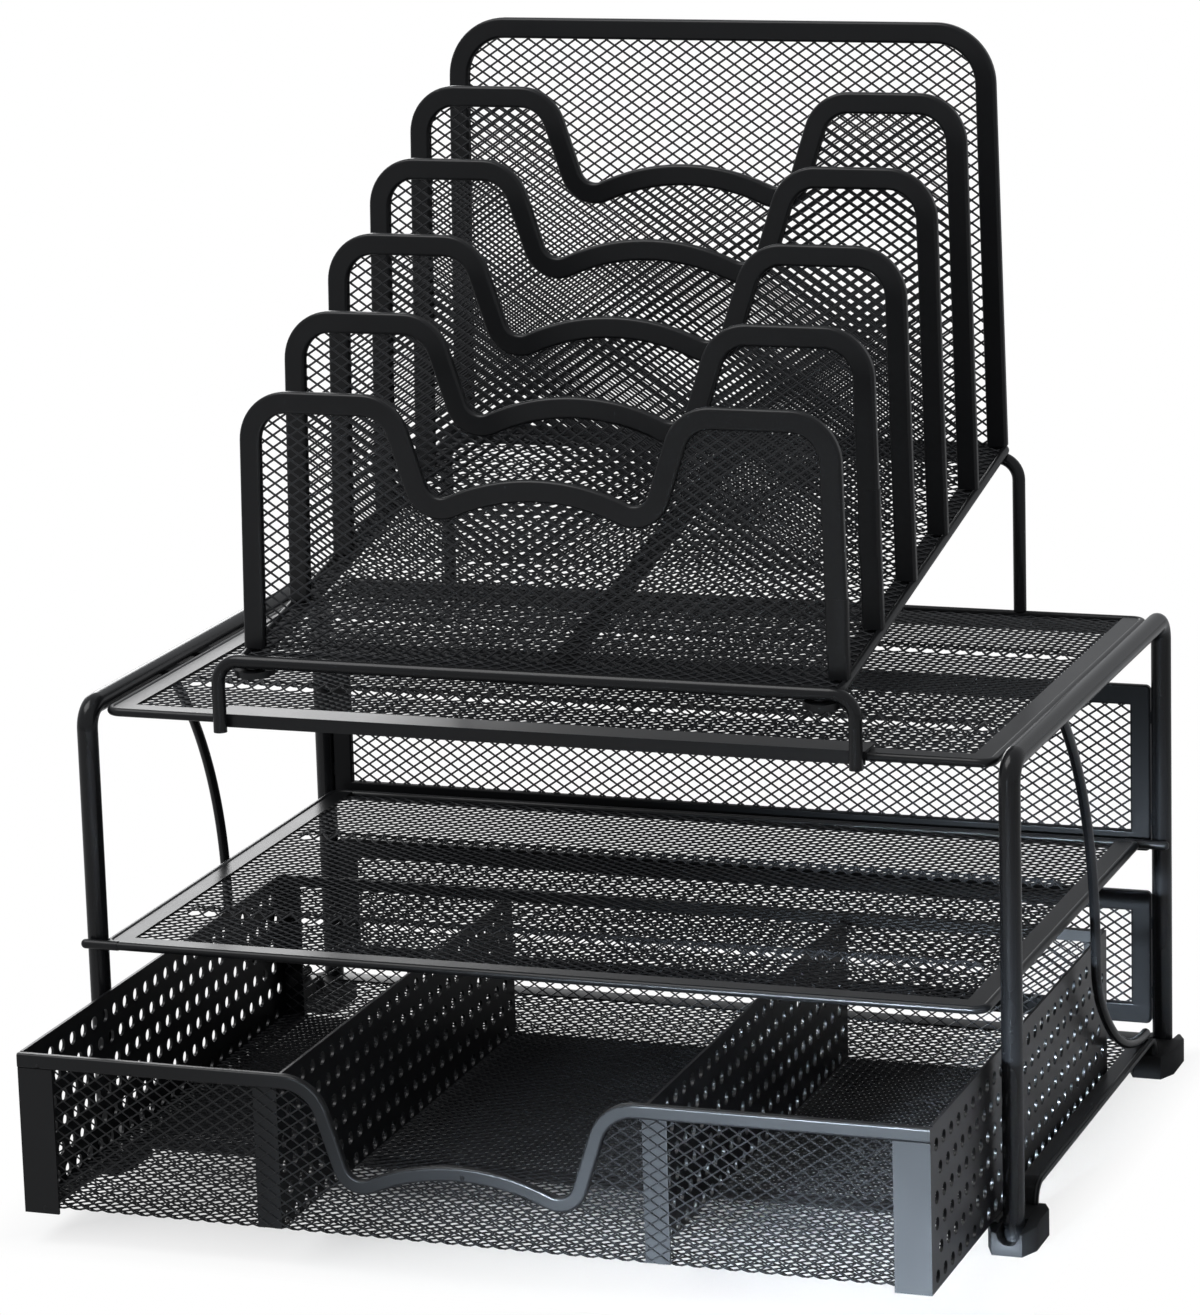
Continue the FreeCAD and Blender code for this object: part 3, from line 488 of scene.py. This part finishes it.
def strands(bm, mesh, width):
    """leave a twisted strand round every diamond"""
    ring = bmesh.ops.inset_individual(bm, faces=bm.faces, thickness=width / 2,
                                      depth=-mesh.twist, use_even_offset=True)["faces"]
    ring = set(ring)
    holes = [face for face in bm.faces if face not in ring]
    bmesh.ops.delete(bm, geom=holes, context="FACES")


def thicken(bm, mesh):
    bmesh.ops.solidify(bm, geom=bm.faces, thickness=mesh.gauge)
    bmesh.ops.translate(bm, verts=bm.verts, vec=(0, 0, (mesh.gauge - mesh.twist) / 2))


def surface_of(node):
    """tree for rays against one CAD node"""
    solid = bmesh.new()
    solid.from_mesh(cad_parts[node].data)
    tree = BVHTree.FromBMesh(solid)
    solid.free()
    return tree


def under(tree, point):
    """whether a frame or rim lies above a point that is itself outside the metal"""
    place, normal, *_ = tree.ray_cast(point, Vector((0, 0, 1)))
    return place is not None and normal.z < 0


def expanded_sheet(node, tilt, frame_node, mesh, shape=None):
    """expanded mesh in the place of a CAD plate

    A panel held by a frame keeps its diamonds whole at the frame; any other is trimmed."""
    low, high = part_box(node)
    centre = (low + high) / 2
    size = high - low
    upright = size.y < size.z
    if not upright and tilt == 0:
        centre.z = low.z + mesh.plate / 2  # a shelf's ribs stand above its plate
    turn = math.pi / 2 if upright else tilt
    half_u = size.x / 2
    half_v = size.z / 2 if upright else size.y / 2 / math.cos(tilt)
    place = Matrix.Translation(centre) @ Matrix.Rotation(turn, 4, "X")
    bm = diamonds(half_u, half_v, mesh)
    if frame_node:
        tree = surface_of(frame_node)
        keep_where(bm, lambda centre: under(tree, place @ centre))
    strands(bm, mesh, mesh.panel_strand if frame_node else mesh.strand)
    for sign in (-1, 1):
        cut(bm, (sign * half_u, 0, 0), (sign, 0, 0), True)
        cut(bm, (0, sign * half_v, 0), (0, sign, 0), True)
    if shape:
        shape(bm, half_u, half_v, mesh)
    thicken(bm, mesh)
    bmesh.ops.transform(bm, matrix=place, verts=bm.verts)
    bmesh.ops.recalc_face_normals(bm, faces=bm.faces)
    return bm


def fold_ribs(bm, half_u, half_v, mesh):
    """fold the stiffening ribs of a shelf"""
    half = mesh.rib_width / 2
    for index in range(RIB_COUNT):
        line = -half_v + mesh.rib_first + index * mesh.rib_spacing
        for shift in (-half, 0, half):
            cut(bm, (0, line + shift, 0), (0, 1, 0), False)
        for vert in bm.verts:
            near = 1 - abs(vert.co.y - line) / half
            if near > 0:
                inward = half_u - RIB_INSET - abs(vert.co.x)
                vert.co.z += mesh.rib_rise * near * min(max(inward / RIB_RUN_IN, 0), 1)


def add_piece(name, bm, body, slot, finish_name, *replaced, smooth=False):
    """turn a bmesh into a finished piece of the organiser"""
    data = bpy.data.meshes.new(name)
    bm.to_mesh(data)
    bm.free()
    data.materials.append(finish(finish_name))
    if smooth:
        data.shade_smooth()
        data.set_sharp_from_angle(angle=SMOOTH_UP_TO)
    piece = bpy.data.objects.new(name, data)
    bpy.context.scene.collection.objects.link(piece)
    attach(piece, body)
    if replaced:
        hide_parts(*replaced)
    if not data.polygons:
        raise RuntimeError(name + " has no faces")
    return piece


def mesh_piece(node, tilt=0.0, frame_node=None, shape=None):
    mesh = bpy.context.scene.organiser_mesh
    bm = expanded_sheet(node, tilt, frame_node, mesh, shape)
    # either of these mesh finishes has painted sheen in its paler black
    coat = "panel_mesh_painted_sheen" if frame_node else "lying_mesh_painted_sheen"
    return add_piece(node + "_expanded", bm, "rack", "mesh", coat, node)


def fold_lengths(walls, fold):
    """lengths along the drawer's sheet: the front down to its bend, a bend, the flat floor

    walls holds the front's y, the back's y, the floor's z and the front's top."""
    front, back, floor, top = walls
    return top - floor - fold, fold * math.pi / 2, back - front - 2 * fold


def folded_point(walls, fold, along, off):
    """y and z of a place on the drawer's folded sheet, off its middle by the last number"""
    front, back, floor, top = walls
    down, bend, run = fold_lengths(walls, fold)
    if along < down:
        return front - off, top - along
    if along < down + bend:
        turn = (along - down) / fold
        reach = fold + off
        return front + fold - reach * math.cos(turn), floor + fold - reach * math.sin(turn)
    if along < down + bend + run:
        return front + fold + along - down - bend, floor - off
    if along < down + 2 * bend + run:
        turn = (along - down - bend - run) / fold
        reach = fold + off
        return back - fold + reach * math.sin(turn), floor + fold - reach * math.cos(turn)
    return back + off, floor + fold + along - down - 2 * bend - run


def drawer_sheets(mesh):
    """front, floor and back of the drawer as one folded sheet, in two lengths"""
    low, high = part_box("drawer_mesh_front")
    floor_low, floor_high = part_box("drawer_mesh_floor")
    back_low, back_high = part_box("drawer_mesh_back")
    walls = ((low.y + high.y) / 2, (back_low.y + back_high.y) / 2,
             (floor_low.z + floor_high.z) / 2, high.z)
    fold = mesh.fold
    down, bend, run = fold_lengths(walls, fold)
    length = down + 2 * bend + run + back_high.z - walls[2] - fold
    half_u = (high.x - low.x) / 2
    middle = (high.x + low.x) / 2
    rim = surface_of("drawer_front_rim")
    join = down + bend + mesh.short_way * JOIN_ROWS
    lines = [start + bend * step / FOLD_STEPS for start in (down, down + bend + run)
             for step in range(FOLD_STEPS + 1)]

    def folded(point):
        y, z = folded_point(walls, fold, point.y, point.z)
        return Vector((middle + point.x, y, z))

    sheets = []
    for start, end in ((0, join), (join, length)):
        bm = diamonds(half_u, length / 2, mesh)
        bmesh.ops.translate(bm, verts=bm.verts, vec=(0, length / 2, 0))
        keep_where(bm, lambda centre: centre.y >= down or under(rim, folded(centre)))
        strands(bm, mesh, mesh.strand)
        for sign in (-1, 1):
            cut(bm, (sign * half_u, 0, 0), (sign, 0, 0), True)
        cut(bm, (0, start, 0), (0, -1, 0), True)
        cut(bm, (0, end, 0), (0, 1, 0), True)
        for line in lines:
            if start < line < end:
                cut(bm, (0, line, 0), (0, 1, 0), False)
        thicken(bm, mesh)
        for vert in bm.verts:
            vert.co = folded(vert.co)
        bmesh.ops.recalc_face_normals(bm, faces=bm.faces)
        sheets.append(bm)
    return sheets


def foot_piece(node, tube, end):
    """moulded foot with a round-bottomed saddle that takes the leg at its outer end"""
    low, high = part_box(node)
    tube_low, tube_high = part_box(tube)
    radius = (tube_high.x - tube_low.x) / 2
    foot = bpy.context.scene.organiser_foot
    middle = (low.x + high.x) / 2
    saddle_x = (tube_high.x + tube_low.x) / 2 - middle
    outer_y = low.y if end < 0 else high.y
    leg_y = tube_low.y + radius if end < 0 else tube_high.y - radius
    saddle = radius + foot.clearance
    to_leg = abs(leg_y - outer_y)
    length = high.y - low.y
    height = high.z - low.z
    half = (high.x - low.x) / 2
    stations = [(0, foot.nose / 2, height * foot.front_rise, 1),
                (foot.taper, half, height * (foot.front_rise + 1) / 2, 1),
                (to_leg + saddle * SADDLE_OPEN, half, height, 1),
                (to_leg + saddle * SADDLE_CLOSED, half, height, 0),
                (length - foot.taper, half, height, 0),
                (length, foot.nose / 2, height * FOOT_REAR_RISE, 0)]
    bm = bmesh.new()
    loops = []
    for along, reach, rise, open_share in stations:
        loop = [(-reach, 0), (reach, 0), (reach, rise), (saddle_x + saddle, rise)]
        for step in range(SADDLE_STEPS + 1):
            turn = math.pi * step / SADDLE_STEPS
            depth = (rise - foot.floor - saddle) + saddle * math.sin(turn)
            loop.append((saddle_x + saddle * math.cos(turn), rise - depth * open_share))
        loop += [(saddle_x - saddle, rise), (-reach, rise)]
        y = outer_y - end * along
        loops.append([bm.verts.new((middle + x, y, low.z + z)) for x, z in loop])
    count = len(loops[0])
    for near, far in zip(loops, loops[1:]):
        for index in range(count):
            after = (index + 1) % count
            bm.faces.new((near[index], near[after], far[after], far[index]))
    bm.faces.new(loops[0])
    bm.faces.new(reversed(loops[-1]))
    bmesh.ops.remove_doubles(bm, verts=bm.verts, dist=SAME_PLACE)
    bmesh.ops.recalc_face_normals(bm, faces=bm.faces)
    sharp = [edge for edge in bm.edges
             if edge.is_manifold and edge.calc_face_angle(0) > ROUND_FROM]
    bmesh.ops.bevel(bm, geom=sharp, offset=foot.rounding, segments=3, profile=0.5,
                    affect="EDGES", material=-1, clamp_overlap=True)
    return add_piece(node + "_moulded", bm, "rack", "foot_plastic", "foot_plastic_satin", node,
                     smooth=True)


def bead(bm, place, size):
    """flattened drop of weld"""
    turn = Matrix.Translation(place) @ Matrix.Diagonal((*size, 1.0))
    bmesh.ops.create_uvsphere(bm, u_segments=16, v_segments=10, radius=1.0, matrix=turn)


def joint_sleeves(mesh):
    """thin swaged joints in the right uprights of the dividers"""
    bm = bmesh.new()
    for panel, low_z, length in JOINTS:
        low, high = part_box(panel + "_frame")
        base_x = high.x - (low_z + length / 2 - low.z) * mesh.upright_lean
        proud = mesh.sleeve
        size = Vector((mesh.upright + 2 * proud, high.y - low.y + 2 * proud, length))
        place = Matrix.Translation((base_x - mesh.upright / 2, (low.y + high.y) / 2,
                                    low_z + length / 2))
        made = bmesh.ops.create_cube(bm, size=1.0, matrix=place @ Matrix.Diagonal((*size, 1.0)))
        edges = {edge for vert in made["verts"] for edge in vert.link_edges}
        upright = [edge for edge in edges
                   if abs(edge.verts[0].co.z - edge.verts[1].co.z) > length / 2]
        bmesh.ops.bevel(bm, geom=upright, offset=SLEEVE_ROUNDING, segments=3, profile=0.5,
                        affect="EDGES", material=-1)
    return add_piece("sorter_joint_sleeves", bm, "rack", "sheet_metal", "sheet_coat",
                     smooth=True)


# ---- pieces ------------------------------------------------------------------------------
class ORGANISER_OT_side_frames(bpy.types.Operator):
    """Powder-coated tube frames at both sides"""
    bl_idname = "organiser.side_frames"
    bl_label = "Side frames"

    def execute(self, context):
        dress(["side_frame_left", "side_frame_right"], "tube_coat")
        return {"FINISHED"}


class ORGANISER_OT_feet(bpy.types.Operator):
    """Moulded plastic feet"""
    bl_idname = "organiser.feet"
    bl_label = "Feet"

    def execute(self, context):
        for name, end in (("front", -1), ("rear", 1)):
            for side in ("left", "right"):
                foot_piece(f"foot_{name}_{side}", "side_frame_" + side, end)
        return {"FINISHED"}


class ORGANISER_OT_braces_and_rails(bpy.types.Operator):
    """Bowed wire braces and the tray's rails and strips"""
    bl_idname = "organiser.braces_and_rails"
    bl_label = "Braces and rails"

    def execute(self, context):
        dress(["bow_brace_left", "bow_brace_right"], "wire_coat")
        dress(["tray_rail_left", "tray_rail_right", "tray_front_strip", "tray_rear_strip"],
              "sheet_coat")
        return {"FINISHED"}


class ORGANISER_OT_shelves(bpy.types.Operator):
    """Hemmed rims and ribbed mesh of the two shelves and the tray"""
    bl_idname = "organiser.shelves"
    bl_label = "Shelves"

    def execute(self, context):
        dress(["top_shelf_rim", "top_shelf_rear_flange", "mid_shelf_rim", "mid_shelf_laps"],
              "sheet_coat")
        mesh_piece("top_shelf_mesh", shape=fold_ribs)
        mesh_piece("mid_shelf_mesh", shape=fold_ribs)
        mesh_piece("tray_mesh")
        return {"FINISHED"}


class ORGANISER_OT_back_panels(bpy.types.Operator):
    """Framed mesh panels between the rear legs"""
    bl_idname = "organiser.back_panels"
    bl_label = "Back panels"

    def execute(self, context):
        dress(["upper_back_frame", "lower_back_frame", "weld_tabs"], "channel_coat")
        for name in ("upper_back", "lower_back"):
            mesh_piece(name + "_mesh", frame_node=name + "_frame")
        return {"FINISHED"}


class ORGANISER_OT_drawer(bpy.types.Operator):
    """Perforated walls and partitions, rims and mesh of the drawer"""
    bl_idname = "organiser.drawer"
    bl_label = "Drawer"

    def execute(self, context):
        walls = [f"drawer_{part}_{side}" for part in ("side", "partition")
                 for side in ("left", "right")]
        dress(walls + ["drawer_back_rim"], "sheet_coat")
        dress(["drawer_front_rim"], "rim_coat")
        bm = bmesh.new()
        bead(bm, *FLANGE_PIP)
        add_piece("drawer_flange_pip", bm, "drawer", "sheet_metal", "sheet_coat", smooth=True)
        front, rest = drawer_sheets(context.scene.organiser_mesh)
        add_piece("drawer_mesh_front_expanded", front, "drawer", "mesh", "front_mesh_coat",
                  "drawer_mesh_front")
        # the floor and back get the lying mesh's painted reflection
        add_piece("drawer_mesh_rest_expanded", rest, "drawer", "mesh",
                  "lying_mesh_painted_sheen", "drawer_mesh_floor", "drawer_mesh_back")
        return {"FINISHED"}


class ORGANISER_OT_sorter(bpy.types.Operator):
    """Inclined base, dividers and back of the sorter"""
    bl_idname = "organiser.sorter"
    bl_label = "Sorter"

    def execute(self, context):
        dress([name + "_frame" for name in SORTER_PANELS], "sheet_coat")
        dress(["sorter_base_rim", "sorter_base_strap", "sorter_crossbar", "sorter_lugs"],
              "sheet_coat")
        dress(["sorter_front_wire", "sorter_rear_wire"], "wire_coat")
        tilt = context.scene.organiser_mesh.base_tilt
        mesh_piece("sorter_base_mesh", tilt=tilt)
        for name in SORTER_PANELS:
            mesh_piece(name + "_mesh", frame_node=name + "_frame")
        joint_sleeves(context.scene.organiser_mesh)
        bm = bmesh.new()
        bead(bm, *WIRE_DRIP)
        for side in (1, -1):
            for (x, y, z), size in LUG_BEADS:
                bead(bm, (side * x, y, z), size)
        add_piece("sorter_weld_beads", bm, "rack", "wire", "weld_coat", smooth=True)
        return {"FINISHED"}


# ---- stage -------------------------------------------------------------------------------
def soft_lamp(name, stand, power):
    """rectangular lamp turned towards a point"""
    place, aim, size = stand
    data = bpy.data.lights.new(name, "AREA")
    data.shape = "RECTANGLE"
    data.size, data.size_y = size
    data.energy = power
    lamp = bpy.data.objects.new(name, data)
    bpy.context.scene.collection.objects.link(lamp)
    turn = (Vector(place) - Vector(aim)).to_track_quat("Z", "Y")
    lamp.matrix_world = Matrix.Translation(place) @ turn.to_matrix().to_4x4()
    return data


def studio_floor(studio):
    """large pale floor; the camera sees it plain white except for the shadow close by"""
    bm = bmesh.new()
    bmesh.ops.create_grid(bm, x_segments=1, y_segments=1, size=FLOOR_REACH)
    bmesh.ops.translate(bm, verts=bm.verts, vec=(0, 0, -FLOOR_DROP))
    data = bpy.data.meshes.new("studio_floor")
    bm.to_mesh(data)
    bm.free()
    floor = bpy.data.objects.new("studio_floor", data)
    bpy.context.scene.collection.objects.link(floor)
    material = bpy.data.materials.new("studio_floor_white")
    shader = Shader(material)
    place = shader.add("TexCoord").outputs["Object"]
    axes = shader.add("SeparateXYZ", None, {0: place})
    beyond = [shader.value(axes, index).magnitude() - half
              for index, half in enumerate((CAD_BOX[1].x, CAD_BOX[1].y))]
    away = beyond[0].larger(beyond[1]) / studio.shadow_reach
    seen = shader.value(shader.add("LightPath"), "Is Camera Ray")
    pale = shader.add("BsdfDiffuse", None, {"Color": rgba(studio.floor_pale)})
    near = shader.add("BsdfDiffuse", None, {"Color": rgba(studio.floor_white)})
    white = shader.add("Emission", None, {"Color": rgba(WHITE), "Strength": 1.0})
    view = shader.add("MixShader", None, {
        0: (away * (1 - FLOOR_GLOW) + FLOOR_GLOW).clamped(), 1: near.outputs[0],
        2: white.outputs[0]})
    mix = shader.add("MixShader", None, {0: seen, 1: pale.outputs[0], 2: view.outputs[0]})
    shader.add("OutputMaterial", None, {"Surface": mix.outputs[0]})
    data.materials.append(material)


def studio_sky(studio):
    """even pale light from all round; the camera sees plain white"""
    world = bpy.data.worlds.new("studio_sky")
    bpy.context.scene.world = world
    shader = Shader(world)
    seen = shader.value(shader.add("LightPath"), "Is Camera Ray")
    light = shader.add("Background", None, {"Color": rgba(SKY_TINT), "Strength": studio.sky})
    white = shader.add("Background", None, {"Color": rgba(WHITE), "Strength": 1.0})
    mix = shader.add("MixShader", None, {0: seen, 1: light.outputs[0], 2: white.outputs[0]})
    shader.add("OutputWorld", None, {"Surface": mix.outputs[0]})


def studio_camera(studio):
    heading = Vector(studio.camera_heading).normalized()
    right = heading.cross(Vector((0, 0, 1))).normalized()
    up = right.cross(heading)
    turned = Matrix.Rotation(-studio.camera_roll, 3, heading)
    right = turned @ right
    up = turned @ up
    data = bpy.data.cameras.new("studio_camera")
    data.lens = studio.camera_lens
    data.sensor_width = SENSOR_WIDTH
    camera = bpy.data.objects.new("studio_camera", data)
    bpy.context.scene.collection.objects.link(camera)
    turn = Matrix((right, up, -heading)).transposed().to_4x4()
    camera.matrix_world = Matrix.Translation(studio.camera_place) @ turn
    bpy.context.scene.camera = camera


class ORGANISER_OT_studio(bpy.types.Operator):
    """Floor, sky, lamps and camera"""
    bl_idname = "organiser.studio"
    bl_label = "Studio"

    def execute(self, context):
        studio = context.scene.organiser_studio
        studio_floor(studio)
        studio_sky(studio)
        studio_camera(studio)
        soft_lamp("key_lamp", KEY_LAMP, studio.key)
        soft_lamp("rear_lamp", REAR_LAMP, studio.rear)
        sheen = soft_lamp("sheen_lamp", SHEEN_LAMP, studio.sheen)
        sheen.color = studio.sheen_tint
        sheen.spread = SHEEN_SPREAD
        context.scene.view_settings.view_transform = "Standard"
        return {"FINISHED"}


PIECES = (ORGANISER_OT_side_frames, ORGANISER_OT_feet, ORGANISER_OT_braces_and_rails,
          ORGANISER_OT_shelves, ORGANISER_OT_back_panels, ORGANISER_OT_drawer,
          ORGANISER_OT_sorter, ORGANISER_OT_studio)
SETTINGS = {"organiser_mesh": MeshSettings, "organiser_foot": FootSettings,
            "organiser_coat": CoatSettings, "organiser_studio": StudioSettings}


class ORGANISER_PT_pieces(bpy.types.Panel):
    """Pieces of the organiser, in the order in which they are made"""
    bl_idname = "ORGANISER_PT_pieces"
    bl_label = "Desk organiser"
    bl_space_type = "VIEW_3D"
    bl_region_type = "UI"
    bl_category = "Organiser"

    def draw(self, context):
        for piece in PIECES:
            self.layout.operator(piece.bl_idname)
        for name, group in SETTINGS.items():
            settings = getattr(context.scene, name)
            box = self.layout.box()
            for key in group.__annotations__:
                box.prop(settings, key)


def register():
    for group in SETTINGS.values():
        bpy.utils.register_class(group)
    for name, group in SETTINGS.items():
        setattr(bpy.types.Scene, name, PointerProperty(type=group))
    for piece in PIECES:
        bpy.utils.register_class(piece)
    bpy.utils.register_class(ORGANISER_PT_pieces)


def unregister():
    bpy.utils.unregister_class(ORGANISER_PT_pieces)
    for piece in reversed(PIECES):
        bpy.utils.unregister_class(piece)
    for name, group in SETTINGS.items():
        delattr(bpy.types.Scene, name)
        bpy.utils.unregister_class(group)


def main():
    register()
    for piece in PIECES:
        group, name = piece.bl_idname.split(".")
        getattr(getattr(bpy.ops, group), name)()


if __name__ == "__main__":
    main()
